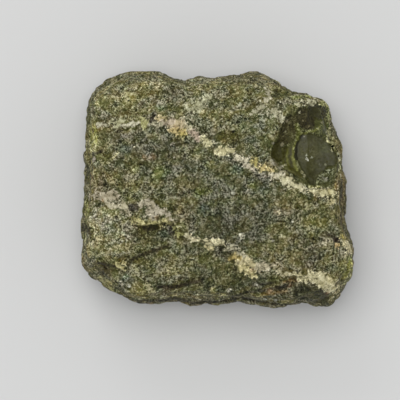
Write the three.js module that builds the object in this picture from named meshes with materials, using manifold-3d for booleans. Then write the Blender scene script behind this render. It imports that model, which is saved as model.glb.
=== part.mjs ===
// A raw jade boulder: one rough broken block, about 79 by 68 by 42 mm, lying on its broadest side.
// Millimetres, +Z up. The origin is under the middle of the block, on the surface it rests on.
// Seen from above, +X is to the right and +Y is away from the viewer.
import * as THREE from "three";
import { mergeVertices } from "three/addons/utils/BufferGeometryUtils.js";
import Module from "manifold-3d";

// The block's size and section
const finishedSize = new THREE.Vector3(78.7, 68.3, 42);
const rimHeight = 17; // the block is widest at this height
const riseAboveRim = 25;
const fallBelowRim = 18; // what would reach below the ground is worn flat
const shoulderAbove = 10; // how square the section is: 2 is round, 8 is nearly a box
const shoulderBelow = 5;
const netFaces = [30, 26, 20]; // along X, Y and Z

// The outline seen from above, clockwise from the lump at the back left
const outline = [
  [-20.3, 34.2], [-16.8, 33.5], [-12.0, 31.8], [-7.5, 31.8], [-4.0, 32.2], [-2.0, 31.8],
  [0.5, 32.8], [5.0, 33.0], [7.5, 32.8], [9.5, 33.7], [12.0, 33.4], [13.6, 32.2],
  [16.3, 31.4], [20.0, 29.3], [23.5, 27.9], [25.4, 28.2], [28.2, 26.4], [31.6, 24.8],
  [32.4, 23.4], [32.4, 20.8], [34.0, 17.5], [34.2, 15.5], [35.6, 13.5], [36.4, 9.8],
  [36.3, 7.2], [37.8, 2.6], [37.6, -1.0], [36.8, -7.5], [38.3, -13.5], [39.0, -20.5],
  [39.3, -23.3], [38.7, -25.0], [36.8, -26.8], [34.8, -30.3], [33.2, -31.7], [31.8, -34.0],
  [30.2, -33.9], [25.0, -32.6], [22.8, -32.7], [20.3, -33.5], [12.5, -32.9], [6.5, -31.9],
  [0.0, -32.8], [-5.0, -32.4], [-7.4, -33.1], [-11.0, -32.2], [-18.0, -32.2], [-21.5, -32.6],
  [-25.8, -31.6], [-29.5, -29.3], [-31.3, -29.0], [-34.5, -26.0], [-37.6, -23.4], [-38.8, -19.0],
  [-38.3, -15.0], [-39.4, -10.0], [-38.8, -3.0], [-38.0, 6.0], [-38.0, 9.0], [-37.2, 14.0],
  [-37.7, 21.0], [-36.4, 26.3], [-34.6, 29.1], [-31.5, 31.2], [-28.2, 32.2], [-25.0, 33.6],
  [-22.2, 33.6],
];

// Large broken faces: [azimuth and tilt of the outward normal in degrees, a point on the face]
const brokenFaces = [
  // walls that lean in towards the top
  [4, 6, [39, 0, 15]],
  [21, 6, [37.2, 9.5, 17]],
  [60, 5, [24.8, 30, 18]],
  [92, 7, [-3, 33.8, 17]],
  [128, 10, [-33, 32.2, 18]],
  [178, 6, [-39.8, 0, 17]],
  [226, 14, [-35.6, -27.8, 16]],
  [267, 8, [-6, -33.8, 17]],
  [290, 17, [31.8, -34.9, 19]],
  [326, 10, [38.4, -28.2, 17]],
  // walls that lean in towards the ground
  [358, -14, [39.6, -8, 14]],
  [40, -18, [34.2, 22.2, 18]],
  [80, -12, [8, 34.2, 18]],
  [120, -20, [-31.8, 32.6, 18]],
  [184, -11, [-40, -4, 16]],
  [232, -20, [-34, -28.6, 16]],
  [272, -11, [4, -34, 18]],
  [318, -17, [37.2, -30, 17]],
  // the top falls away towards its edges
  [95, 70, [-5, 24, 41.5]],
  [132, 66, [-26, 22, 40.6]],
  [180, 76, [-29, 0, 41.4]],
  [228, 66, [-28, -19, 40.4]],
  [268, 68, [-5, -25, 40.9]],
  [2, 74, [29, -10, 41.6]],
  // the underside rises towards its edges
  [200, -75, [-14, -4, 0]],
  [20, -72, [17, 6, 0]],
  [95, -70, [0, 16, 0]],
  [280, -73, [4, -15, 0]],
];

// Small broken faces, spread over the shoulders of the block
const chipCount = 54; // over the whole sphere of directions, half of them too flat or too steep
const chipTilts = [30, 62];
const chipDepths = [0.1, 0.9];
const faceEdge = 0.5; // how far the edge between two broken faces is rounded

// Beds of the rock stand out and fall back on the walls.
const bedThickness = 6;
const bedInset = 2.3;
const bedSlope = [0.05, -0.09]; // rise along X and along Y

// Random lumps: [distance across a lump, height, share that is left at the widest height]
const lumps = [[14, 0.9, 0.2], [7, 0.7, 0.4], [4, 0.6, 0.8]];

// Flakes that came away from the top. Each one leaves a low cliff along a path of [x, y, drop] that
// runs from left to right, and a floor that climbs back to the surface in front of it.
const flakes = [
  // the longest scar, across the lower half
  { run: 9, path: [[-27, -7, 0], [-24.5, -8.6, 1.2], [-21, -9.9, 2.3], [-16.8, -9.3, 2.5],
    [-13.2, -9.7, 2.7], [-11.8, -12, 2.2], [-9, -13.2, 1.5], [-5.5, -14.2, 1.3], [-2.5, -15.2, 1.3],
    [1.5, -16.3, 1.6], [4.5, -17.8, 1.4], [8, -20.5, 1], [12, -22.5, 0.7], [21, -24.5, 0.9],
    [25, -25.5, 0]] },
  // a second, lower scar
  { run: 5, path: [[-30, -18.4, 0], [-26.5, -19.4, 1], [-22.5, -18.8, 1.2], [-18.5, -17.4, 1],
    [-14, -15.6, 0]] },
  // the drop to the front left corner
  { run: 10, path: [[-36.5, -20.4, 1.6], [-34, -21, 2], [-31.5, -21.7, 2.4], [-28.5, -22.5, 1.5],
    [-25.5, -23.4, 0]] },
  // along the pale vein at the back left
  { run: 6, path: [[-33.5, 20.9, 0], [-30, 20.3, 0.8], [-26, 20.6, 0.9], [-22, 20.4, 1.1],
    [-19.5, 20.6, 1.3], [-16.5, 20.8, 0.9], [-12, 20.3, 0.7], [-6, 18, 0]] },
  // the front edge
  { run: 8, path: [[-13, -26.8, 0], [-8, -27.2, 1], [-3, -26.2, 1.3], [2, -27.4, 1.2], [7, -28.2, 1.4],
    [13, -28.6, 1.5], [19, -28.2, 1.2], [24, -27, 0]] },
];
const floorSkim = 0.15; // how far a floor ends above the surface
const floorFall = 1.2; // the most that a floor may fall from the surface at its cliff
const cutTop = 60; // higher than any part of the block

// Swells and hollows of the top: [x, y, half length, half width, turn in degrees, rise]
const swells = [
  [22, -3.2, 6, 5.5, 20, 0.9],
  [-24.5, 31.5, 4.5, 3.6, 0, 1.2],
  [-33, 8, 6, 9, 0, 0.8],
  [4, -3, 12, 7, -30, 0.7],
  [-20.5, -22.5, 7, 4.5, 10, 1.2],
  [33, -19, 5, 7, 0, 0.8],
  [-8, 29.5, 6, 3.5, 0, -1.8],
  [16.8, 28, 3.4, 3.6, 20, -1.8],
  [-32.5, -23.6, 3.6, 2.8, -10, -1.4],
  [-18, -13.2, 7, 4, 12, -0.6],
  [-10, 10, 12, 6, -20, -0.9],
  [12, 20, 9, 7, 0, -0.8],
  [30, -13, 4, 3.5, 0, -0.7],
];

// The fresh chip at the back right: its edge, clockwise, and its section as rings of
// [share of the way from its middle to its edge, height above the surface]
const chipMiddle = [25.5, 12.5];
const chipEdge = [
  [15, 9.7], [15.3, 11], [16.3, 13.5], [17.2, 15.5], [18.3, 18], [19.4, 20.8], [22, 22.6],
  [24, 24], [26, 24.5], [29, 25], [31.3, 24.6], [31.9, 22.5], [32.1, 20], [31.9, 17], [31.8, 15],
  [32.5, 12.4], [33.7, 11], [34.2, 9], [33.8, 6], [33.2, 3.4], [32.6, 1.4], [31, 0.6], [27.5, 0],
  [26, 1], [25, 3], [23.5, 3.8], [20, 6], [17.7, 8],
];
const chipRings = [[1.1, 1.6], [1, 0], [0.88, -2.2], [0.5, -3], [0, -3.1]];
const chipLeastHeight = 34; // where the surface has already fallen away to the wall

// Scoops in the chip's floor: [x, y, height of the centre above the surface, radii, turn in degrees]
const freshScoops = [
  [28.7, 8.6, 1, [4.9, 8.4, 5.2], 8],
  [28.8, 21, 0.8, [3, 3.8, 4.6], 0],
  [18, 11.4, 0.6, [2.4, 4, 4.6], -20],
];

// Nicks in the walls: [centre, radii, turn about Z in degrees]
const nicks = [
  [[-41, -11, 30], [4.2, 2.2, 4.6], 0],
  [[8, -38.6, 25], [8, 6, 6.5], 0],
  [[-36, 33, 27], [5.5, 5, 7], 40],
];
const scoopFaces = 5; // along the edge of each face of an icosahedron

const radians = THREE.MathUtils.degToRad;
const { lerp, smoothstep } = THREE.MathUtils;

// A random number from -1 to 1 for each point of a lattice.
function latticeValue(i, j, k) {
  let mixed = Math.imul(i, 374761393) + Math.imul(j, 668265263) + Math.imul(k, 1440662683);
  mixed = Math.imul(mixed ^ (mixed >>> 13), 1274126177);
  return ((mixed ^ (mixed >>> 16)) >>> 0) / 2 ** 31 - 1;
}

// Smooth noise from -1 to 1 that changes over one unit of length.
function noise(x, y, z) {
  const [i, j, k] = [x, y, z].map(Math.floor);
  const [u, v, w] = [x - i, y - j, z - k].map((t) => t * t * (3 - 2 * t));
  let sum = 0;
  for (const a of [0, 1]) {
    for (const b of [0, 1]) {
      for (const c of [0, 1]) {
        const share = (a ? u : 1 - u) * (b ? v : 1 - v) * (c ? w : 1 - w);
        sum += share * latticeValue(i + a, j + b, k + c);
      }
    }
  }
  return sum;
}

// The outline as radii in order of their angle
const rim = outline
  .map(([x, y]) => ({ angle: Math.atan2(y, x), radius: Math.hypot(x, y) }))
  .sort((a, b) => a.angle - b.angle);

function rimPoint(n) {
  const turns = Math.floor(n / rim.length);
  const { angle, radius } = rim[n - turns * rim.length];
  return { angle: angle + turns * 2 * Math.PI, radius };
}

// The outline's radius at any angle, on a smooth curve through its points.
function rimRadius(angle) {
  const found = rim.findIndex((point) => point.angle > angle);
  const next = found < 0 ? rim.length : found;
  const [a, b, c, d] = [next - 2, next - 1, next, next + 1].map(rimPoint);
  const span = c.angle - b.angle;
  const t = (angle - b.angle) / span;
  const leaving = ((c.radius - a.radius) / (c.angle - a.angle)) * span;
  const arriving = ((d.radius - b.radius) / (d.angle - b.angle)) * span;
  return (
    (1 + 2 * t) * (1 - t) ** 2 * b.radius +
    t * (1 - t) ** 2 * leaving +
    t * t * (3 - 2 * t) * c.radius +
    t * t * (t - 1) * arriving
  );
}

// A point of a cube's surface goes to the same place on a squarish loaf that fills the outline.
function moveToLoaf(p) {
  const power = p.z > 0 ? shoulderAbove : shoulderBelow;
  const norm = (...sides) => sides.reduce((sum, side) => sum + Math.abs(side) ** power, 0) ** (1 / power);
  const whole = norm(p.x, p.y, p.z);
  const share = norm(p.x, p.y) / whole; // 0 at the middle of the top, 1 at the rim
  const angle = Math.atan2(p.y * finishedSize.y, p.x * finishedSize.x);
  const radius = share * rimRadius(angle);
  const depth = p.z > 0 ? riseAboveRim : fallBelowRim;
  p.set(radius * Math.cos(angle), radius * Math.sin(angle), rimHeight + (depth * p.z) / whole);
}

function direction(azimuth, tilt) {
  const level = Math.cos(radians(tilt));
  return new THREE.Vector3(
    level * Math.cos(radians(azimuth)),
    level * Math.sin(radians(azimuth)),
    Math.sin(radians(tilt)),
  );
}

// Whatever stands beyond a plane is pushed back to it.
function breakFace(points, normal, offset) {
  for (const p of points) {
    const over = normal.dot(p) - offset;
    p.addScaledVector(normal, -(over + Math.hypot(over, faceEdge)) / 2);
  }
}

function breakFaces(points) {
  for (const [azimuth, tilt, place] of brokenFaces) {
    const normal = direction(azimuth, tilt);
    breakFace(points, normal, normal.dot(new THREE.Vector3(...place)));
  }
  const goldenTurn = 180 * (3 - Math.sqrt(5));
  for (let i = 0; i < chipCount; i++) {
    const tilt = THREE.MathUtils.radToDeg(Math.asin(1 - (2 * i + 1) / chipCount));
    if (Math.abs(tilt) < chipTilts[0] || Math.abs(tilt) > chipTilts[1]) {
      continue;
    }
    const normal = direction(i * goldenTurn, tilt);
    const reach = Math.max(...points.map((p) => normal.dot(p)));
    const depth = lerp(...chipDepths, 0.5 + 0.5 * latticeValue(i, 5, 9));
    breakFace(points, normal, reach - depth);
  }
}

// The walls step in and out with the rock's beds, but for the widest bed.
function stepBeds(p) {
  const waviness = noise(p.x / 15, p.y / 15, 3);
  const level = (p.z + bedSlope[0] * p.x + bedSlope[1] * p.y + waviness) / bedThickness;
  const bed = Math.floor(level);
  const insetOf = (n) => 0.5 + 0.5 * noise(p.x / 11, p.y / 11, n * 3.7);
  const inset = lerp(insetOf(bed), insetOf(bed + 1), smoothstep(level - bed, 0.75, 1));
  const onWall = smoothstep(Math.hypot(p.x / 39, p.y / 34), 0.7, 0.95);
  const awayFromRim = 1 - Math.exp(-(((p.z - rimHeight) / 4) ** 2));
  const scale = 1 - (bedInset * inset * onWall * awayFromRim) / Math.hypot(p.x, p.y, 1);
  p.x *= scale;
  p.y *= scale;
}

function addLumps(p) {
  const outward = new THREE.Vector3(p.x, p.y, (p.z - 20) * 1.6).normalize();
  const atRim = Math.exp(-(((p.z - rimHeight) / 7) ** 2));
  let height = 0;
  for (const [across, rise, left] of lumps) {
    const share = lerp(1, left, atRim);
    height += share * rise * noise(p.x / across, p.y / across, p.z / across + across);
  }
  p.addScaledVector(outward, height);
}

function addSwells(p) {
  let rise = 0;
  for (const [x, y, length, width, turn, height] of swells) {
    const [c, s] = [Math.cos(radians(turn)), Math.sin(radians(turn))];
    const along = ((p.x - x) * c + (p.y - y) * s) / length;
    const across = ((p.y - y) * c - (p.x - x) * s) / width;
    rise += height * Math.max(0, 1 - along * along - across * across) ** 2;
  }
  p.z += rise * smoothstep(p.z, rimHeight + 8, rimHeight + 18);
}

function blockGeometry() {
  const box = new THREE.BoxGeometry(2, 2, 2, ...netFaces);
  box.deleteAttribute("normal");
  box.deleteAttribute("uv");
  const net = mergeVertices(box);
  const places = net.getAttribute("position");
  const points = Array.from(
    { length: places.count },
    (_, i) => new THREE.Vector3().fromBufferAttribute(places, i),
  );
  points.forEach(moveToLoaf);
  breakFaces(points);
  for (const p of points) {
    stepBeds(p);
    addLumps(p);
    addSwells(p);
    p.z = Math.max(p.z, 0); // the flat spot that the boulder rests on
  }
  places.copyArray(points.flatMap((p) => p.toArray()));
  return net;
}

const wasm = await Module();
wasm.setup();

function solidOf(geometry) {
  return new wasm.Manifold(
    new wasm.Mesh({
      numProp: 3,
      vertProperties: Float32Array.from(geometry.getAttribute("position").array),
      triVerts: Uint32Array.from(geometry.index.array),
    }),
  );
}

// The height of the block's top, or zero beside the block.
function heightOf(block, x, y) {
  const ray = new THREE.Raycaster(new THREE.Vector3(x, y, cutTop), new THREE.Vector3(0, 0, -1));
  const hit = ray.intersectObject(block)[0];
  return hit ? hit.point.z : 0;
}

// A prism whose underside runs from the foot of the cliff to the far end of the floor.
function flakeSolid({ run, path }, block) {
  const [first, last] = [path[0], path[path.length - 1]];
  const chord = new THREE.Vector2(last[0] - first[0], last[1] - first[1]).normalize();
  const places = [];
  for (const [x, y, drop] of path) {
    const [farX, farY] = [x + chord.y * run, y - chord.x * run];
    const top = heightOf(block, x, y);
    const floorEnd = Math.max(heightOf(block, farX, farY) + floorSkim, top - floorFall);
    places.push(x, y, top - drop + floorSkim);
    places.push(farX, farY, floorEnd);
    places.push(farX, farY, cutTop);
    places.push(x, y, cutTop);
  }
  const faces = [0, 1, 2, 0, 2, 3];
  for (let start = 0; start < 4 * (path.length - 1); start += 4) {
    for (const [a, b] of [[0, 1], [1, 2], [2, 3], [3, 0]]) {
      faces.push(start + a, start + b + 4, start + b, start + a, start + a + 4, start + b + 4);
    }
  }
  const end = 4 * (path.length - 1);
  faces.push(end, end + 2, end + 1, end, end + 3, end + 2);
  const prism = new THREE.BufferGeometry();
  prism.setAttribute("position", new THREE.Float32BufferAttribute(places, 3));
  prism.setIndex(new THREE.Uint32BufferAttribute(faces, 1));
  return solidOf(prism);
}

// The chip is cut by a stack of rings, closed above and below by fans.
function chipSolid(block) {
  const [middleX, middleY] = chipMiddle;
  const places = [];
  const addPoint = (edgeX, edgeY, share, rise) => {
    const [x, y] = [lerp(middleX, edgeX, share), lerp(middleY, edgeY, share)];
    places.push(x, y, Math.max(heightOf(block, x, y), chipLeastHeight) + rise);
  };
  addPoint(...chipMiddle, 0, cutTop - rimHeight);
  const rings = [[chipRings[0][0], cutTop - rimHeight], ...chipRings.slice(0, -1)];
  for (const [share, rise] of rings) {
    for (const [x, y] of chipEdge) {
      addPoint(x, y, share, rise);
    }
  }
  addPoint(...chipMiddle, ...chipRings[chipRings.length - 1]);
  const bottom = places.length / 3 - 1;
  const count = chipEdge.length;
  const faces = [];
  for (let i = 0; i < count; i++) {
    const j = (i + 1) % count;
    faces.push(0, 1 + j, 1 + i);
    for (let start = 1; start + count < bottom; start += count) {
      faces.push(start + i, start + count + j, start + count + i, start + i, start + j, start + count + j);
    }
    faces.push(bottom, bottom - count + i, bottom - count + j);
  }
  const stack = new THREE.BufferGeometry();
  stack.setAttribute("position", new THREE.Float32BufferAttribute(places, 3));
  stack.setIndex(new THREE.Uint32BufferAttribute(faces, 1));
  return solidOf(stack);
}

function scoopSolid(centre, radii, turn) {
  const ball = new THREE.IcosahedronGeometry(1, scoopFaces);
  ball.deleteAttribute("normal");
  ball.deleteAttribute("uv");
  const shape = mergeVertices(ball, 1e-5);
  shape.scale(...radii);
  shape.rotateZ(radians(turn));
  shape.translate(...centre);
  return solidOf(shape);
}

function cutBlock(geometry) {
  const block = new THREE.Mesh(geometry);
  let solid = solidOf(geometry);
  for (const flake of flakes) {
    solid = solid.subtract(flakeSolid(flake, block));
  }
  solid = solid.subtract(chipSolid(block));
  for (const [x, y, above, radii, turn] of freshScoops) {
    const surface = Math.max(heightOf(block, x, y), chipLeastHeight);
    solid = solid.subtract(scoopSolid([x, y, surface + above], radii, turn));
  }
  for (const [centre, radii, turn] of nicks) {
    solid = solid.subtract(scoopSolid(centre, radii, turn));
  }
  const { vertProperties, triVerts } = solid.getMesh();
  const cut = new THREE.BufferGeometry();
  cut.setAttribute("position", new THREE.BufferAttribute(vertProperties, 3));
  cut.setIndex(new THREE.BufferAttribute(triVerts, 1));
  return cut;
}

// The finished block has its measured size and stands over the origin.
function fitSize(geometry) {
  geometry.computeBoundingBox();
  const box = geometry.boundingBox;
  const centre = box.getCenter(new THREE.Vector3());
  geometry.translate(-centre.x, -centre.y, -box.min.z);
  geometry.scale(...finishedSize.clone().divide(box.getSize(new THREE.Vector3())));
  geometry.computeVertexNormals();
  return geometry;
}

const jade = new THREE.MeshStandardMaterial({ color: 0x676549, roughness: 0.8, metalness: 0 });
const boulder = new THREE.Mesh(fitSize(cutBlock(blockGeometry())), jade);
boulder.name = "boulder";

const part = new THREE.Group();
part.add(boulder);
export default part;
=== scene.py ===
import bmesh
import bpy
import numpy as np
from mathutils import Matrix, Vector, noise


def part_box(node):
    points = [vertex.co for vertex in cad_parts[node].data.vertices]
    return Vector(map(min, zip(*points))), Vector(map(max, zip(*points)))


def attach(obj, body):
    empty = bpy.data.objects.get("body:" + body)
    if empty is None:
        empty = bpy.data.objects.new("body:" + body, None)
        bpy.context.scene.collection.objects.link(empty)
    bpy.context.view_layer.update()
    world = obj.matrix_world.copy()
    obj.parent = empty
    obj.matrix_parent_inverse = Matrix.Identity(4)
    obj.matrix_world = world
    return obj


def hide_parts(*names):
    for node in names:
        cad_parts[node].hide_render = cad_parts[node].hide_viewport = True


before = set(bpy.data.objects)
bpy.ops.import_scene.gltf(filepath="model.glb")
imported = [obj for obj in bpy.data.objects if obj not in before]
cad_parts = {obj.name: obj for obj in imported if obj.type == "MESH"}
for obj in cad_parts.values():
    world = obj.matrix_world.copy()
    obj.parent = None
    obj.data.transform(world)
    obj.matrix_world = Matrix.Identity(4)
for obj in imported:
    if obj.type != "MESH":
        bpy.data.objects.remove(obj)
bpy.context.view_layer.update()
mm = 0.001  # the tables below are in millimetres, seen from above


def linear(red, green, blue):
    # sRGB values from 0 to 255, as seen on screen, to Blender's linear colour
    screen = np.array([red, green, blue]) / 255
    return np.where(screen < 0.04045, screen / 12.92, ((screen + 0.055) / 1.055) ** 2.4)


def smooth(value, low, high):
    t = np.clip((value - low) / (high - low), 0, 1)
    return t * t * (3 - 2 * t)


# the boulder's shape is the CAD block, remeshed finely and roughened
rock = {
    "voxel": 0.5,
    "soften": 3,  # passes that take out the CAD's triangles
    "hackle": [(7.0, 0.6), (3.4, 0.5), (1.7, 0.2)],  # broken facets: size, height
    "lumps": [(9.0, 0.4), (2.4, 0.3), (1.1, 0.12)],
    "wallCalm": 0.1,  # share of this relief that the walls lose
    "beds": [(3.1, 0.55), (1.3, 0.3)],  # rock layers on the walls: thickness, relief
    "bedSlope": (0.05, -0.09),
    "bedWaves": (14, 1.2),  # size, height
    "bedLength": 16,
    "bedStep": 0.72,  # where in a bed's thickness the step to the next one starts
    "pitSize": 2.1,
    "pitDepth": 0.5,
    "pitShare": (0.28, 0.5),
    "crackWander": (1.6, 0.5),  # size, reach
    "faceWander": (1.1, 0.25),
    "freshCalm": 0.8,  # share of the relief that the fresh chip loses
    "chipRise": (24, 28),  # the fresh chip starts between these heights
    "sideRise": (13, 19),  # the marks in the tables start between these
    "topSlope": (0.35, 0.8),  # upright part of the normal, from wall to top
    "markSlope": (-0.05, 0.2),
    "restRise": (0.15, 2),  # the resting spot below these stays flat
    # a corner of the chip's rim is worn level: x, y, radius, height
    "rim": (33.2, 12.7, 2.4, 37.2),
    "tips": 0.3,  # how far a tip may stand out from its surroundings
    "tipPasses": 12,
    # where the walls stand out from the CAD's rounder corners: azimuth in degrees, rise
    "bulges": [(20, 0), (27, 0.7), (33, 0.2), (39, 0.8), (48, -0.3), (57, -0.9), (66, 0), (98, 0),
               (105, -0.9), (111, 0), (117, 0.9), (121, 1.4), (127, 0.9), (135, 0), (155, 0), (162, 0.9),
               (170, 0), (185, 0), (192, 0.9), (200, 0.3), (210, 0.9), (217, 0), (225, -1), (232, -0.4),
               (240, 0), (330, 0), (336, 1), (343, 0)],
}

# named pits: x, y, radius, depth
pits = [
    (1.3, -16.8, 0.8, 0.4), (4.0, -17.9, 0.7, 0.5), (34.0, -14.2, 1.1, 0.8), (-15.0, 18.6, 0.7, 0.6),
    (-19.0, 20.0, 0.7, 0.6), (-32.5, -23.0, 1.5, 1.0), (-4.5, -26.2, 1.4, 0.7), (14.2, 4.0, 0.7, 0.5),
    (-13.8, -10.4, 0.9, 0.3), (8.5, -8.0, 0.7, 0.5), (-6.0, 1.5, 0.8, 0.5),
]

# cracks and step lines: half width, depth, path
cracks = [
    (0.35, 0.6, [(-36, 10.5), (-34, 10.8), (-32, 10.3)]),
    (0.4, 0.7, [(-17, -27.5), (-13, -27.8), (-9, -27), (-5, -25.5), (-3, -26)]),
    (0.35, 0.5, [(-34, -21.5), (-31.5, -21.6), (-29, -21.8)]),
    (0.3, 0.4, [(25, 0), (27, -3), (28.4, -5), (29, -6.5)]),
    (0.3, 0.35, [(7.5, 0), (8, -2.5), (7.7, -5)]),
    (0.35, 0.5, [(13, -21), (17, -22.4), (22, -23.6), (26, -25.5)]),
    (0.3, 0.4, [(-3, 31), (-1.5, 28), (1.5, 26), (3, 23)]),
]


def noiseAt(points, size, shift=0.0):
    scaled = points / size + shift
    return np.array([noise.noise(p) for p in scaled])


def hackleAt(points, size, shift, steepness=1.6, steps=0.7):
    # flat facets at random tilts, with small steps between them
    heights = np.empty(len(points))
    for n, p in enumerate(points / size + shift):
        distances, centres = noise.voronoi(p)
        tilt = noise.cell_vector(centres[0] * 31.7) - Vector((0.5, 0.5, 0.5))
        heights[n] = steepness * tilt.dot(Vector(p) - centres[0])
        heights[n] += steps * (noise.cell(centres[0] * 57.3) - 0.5)
    return heights


def pathDistance(x, y, path):
    # distance to a line of points, and how far along it the nearest place is, in points
    best = np.full(len(x), 1e9)
    place = np.zeros(len(x))
    for n, ((ax, ay), (bx, by)) in enumerate(zip(path, path[1:])):
        dx, dy = bx - ax, by - ay
        along = np.clip(((x - ax) * dx + (y - ay) * dy) / (dx * dx + dy * dy), 0, 1)
        distance = np.hypot(x - ax - along * dx, y - ay - along * dy)
        nearer = distance < best
        best[nearer] = distance[nearer]
        place[nearer] = n + along[nearer]
    return best, place


def meshArrays(mesh):
    places = np.empty(3 * len(mesh.vertices))
    mesh.vertices.foreach_get("co", places)
    normals = np.empty(3 * len(mesh.vertices))
    mesh.vertices.foreach_get("normal", normals)
    return places.reshape(-1, 3) / mm, normals.reshape(-1, 3)


def fineCopy(node):
    mesh = node.data.copy()
    boulder = bpy.data.objects.new("boulderRock", mesh)
    bpy.context.scene.collection.objects.link(boulder)
    remesh = boulder.modifiers.new("remesh", "REMESH")
    remesh.mode = "VOXEL"
    remesh.voxel_size = rock["voxel"] * mm
    soften = boulder.modifiers.new("soften", "SMOOTH")
    soften.factor = 0.5
    soften.iterations = rock["soften"]
    depsgraph = bpy.context.evaluated_depsgraph_get()
    boulder.data = bpy.data.meshes.new_from_object(boulder.evaluated_get(depsgraph))
    boulder.modifiers.clear()
    return boulder


def refineChip(mesh):
    # faces half as wide in the fresh chip, where edges are crisp
    places, normals = meshArrays(mesh)
    near = insideDistance(places[:, 0], places[:, 1], freshEdge) > -0.8
    near &= (places[:, 2] > rock["chipRise"][0]) & (normals[:, 2] > 0.1)
    fine = bmesh.new()
    fine.from_mesh(mesh)
    edges = [edge for edge in fine.edges if near[edge.verts[0].index] and near[edge.verts[1].index]]
    bmesh.ops.subdivide_edges(fine, edges=edges, cuts=1, use_grid_fill=True)
    fine.to_mesh(mesh)
    fine.free()


def bedLevel(x, y, z):
    slopeX, slopeY = rock["bedSlope"]
    return z + slopeX * x + slopeY * y


def faceWobble(places):
    size, reach = rock["faceWander"]
    return reach * noiseAt(places, size, 8)


def roughen(boulder):
    places, normals = meshArrays(boulder.data)
    x, y, z = places.T
    topness = smooth(normals[:, 2], *rock["topSlope"])
    wallness = 1 - smooth(np.abs(normals[:, 2]), *rock["topSlope"])
    relief = np.zeros(len(places))
    for n, (size, height) in enumerate(rock["hackle"]):
        relief += height * hackleAt(places, size, 3.1 * n)
    for n, (size, height) in enumerate(rock["lumps"]):
        relief += height * noiseAt(places, size, 7.7 * n)
    relief *= 1 - rock["wallCalm"] * wallness
    azimuth = np.degrees(np.arctan2(y, x)) % 360
    relief += wallness * np.interp(azimuth, *zip(*rock["bulges"]))
    waveSize, waveHeight = rock["bedWaves"]
    level = bedLevel(x, y, z) + waveHeight * noiseAt(places, waveSize, 5.5)
    for thickness, height in rock["beds"]:
        step = level / thickness
        bed = np.floor(step)
        flat = np.column_stack((x / rock["bedLength"], y / rock["bedLength"], bed * 3.7))
        upper = np.column_stack((flat[:, :2], (bed + 1) * 3.7))
        share = smooth(step - bed, rock["bedStep"], 1)
        relief += wallness * height * ((1 - share) * noiseAt(flat, 1) + share * noiseAt(upper, 1))
    pitNoise = noiseAt(places, rock["pitSize"], 11)
    relief -= rock["pitDepth"] * smooth(pitNoise, *rock["pitShare"])
    for px, py, radius, depth in pits:
        relief -= topness * depth * smooth(radius - np.hypot(x - px, y - py), 0, radius)
    wanderSize, reach = rock["crackWander"]
    wobble = reach * noiseAt(places, wanderSize, 2)
    for halfWidth, depth, path in cracks:
        distance, _ = pathDistance(x + wobble, y - wobble, path)
        relief -= topness * depth * smooth(halfWidth - distance, -halfWidth, halfWidth)
    relief *= 1 - rock["freshCalm"] * freshMask(places)
    above = smooth(normals[:, 2], *rock["markSlope"]) * smooth(z, *rock["sideRise"])
    wobble = faceWobble(places)
    for _, sink, _, outline in faces:
        if sink:
            relief -= sink * above * smooth(insideDistance(x + wobble, y - wobble, outline), -0.15, 0.3)
    relief *= smooth(z, *rock["restRise"])
    places += normals * relief[:, None]
    rimX, rimY, radius, top = rock["rim"]
    atRim = smooth(radius - np.hypot(x - rimX, y - rimY), 0, 0.6)
    places[:, 2] -= atRim * np.maximum(places[:, 2] - top, 0)
    low, high = [np.array(corner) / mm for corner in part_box("boulder")]
    places = np.clip(places, low, high)
    boulder.data.vertices.foreach_set("co", (places * mm).ravel())
    boulder.data.update()
    return above


def surroundings(mesh, places, passes):
    # each vertex's place averaged with its neighbours': more passes look further around
    ends = np.empty(2 * len(mesh.edges), dtype=int)
    mesh.edges.foreach_get("vertices", ends)
    first, second = ends.reshape(-1, 2).T
    count = len(places)
    links = np.bincount(first, minlength=count) + np.bincount(second, minlength=count)
    around = places.copy()
    for _ in range(passes):
        total = np.empty_like(around)
        for axis in range(3):
            total[:, axis] = np.bincount(first, around[second, axis], count)
            total[:, axis] += np.bincount(second, around[first, axis], count)
        around = 0.5 * around + 0.5 * total / links[:, None]
    return around


def hollowness(mesh, passes):
    # how far each vertex lies below its surroundings, in mm
    places, normals = meshArrays(mesh)
    return ((surroundings(mesh, places, passes) - places) * normals).sum(axis=1)


def wearTips(mesh):
    # thin tips and fins are drawn back towards their surroundings
    for _ in range(2):
        places, normals = meshArrays(mesh)
        offset = surroundings(mesh, places, rock["tipPasses"]) - places
        distance = np.maximum(np.linalg.norm(offset, axis=1), 0.001)
        share = np.clip(1 - rock["tips"] / distance, 0, 1)
        share[(offset * normals).sum(axis=1) > 0] = 0
        places += share[:, None] * offset
        mesh.vertices.foreach_set("co", (places * mm).ravel())
        mesh.update()


# the edge of the fresh chip at the back right
freshEdge = [
    (15, 9.6), (15.4, 11.6), (16.2, 13.8), (17, 15.6), (18, 17.6), (18.6, 19.2), (19.3, 20.2),
    (19.6, 21.6), (22.2, 22), (23, 23.8), (24.4, 23.6), (26, 24.4), (28.2, 24.5), (30, 24.9),
    (31.6, 24.7), (32.3, 23), (32.1, 20), (32, 17.5), (31.8, 14.4), (32.6, 12.8), (34.3, 10.6),
    (34.8, 9.2), (34.4, 6.4), (33.6, 3), (32.2, 0.9), (29.6, 0.3), (26, 0.4), (23.8, 2.4), (22, 4.2),
    (20, 5.4), (17.9, 6.4), (16.6, 8.2),
]

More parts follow.
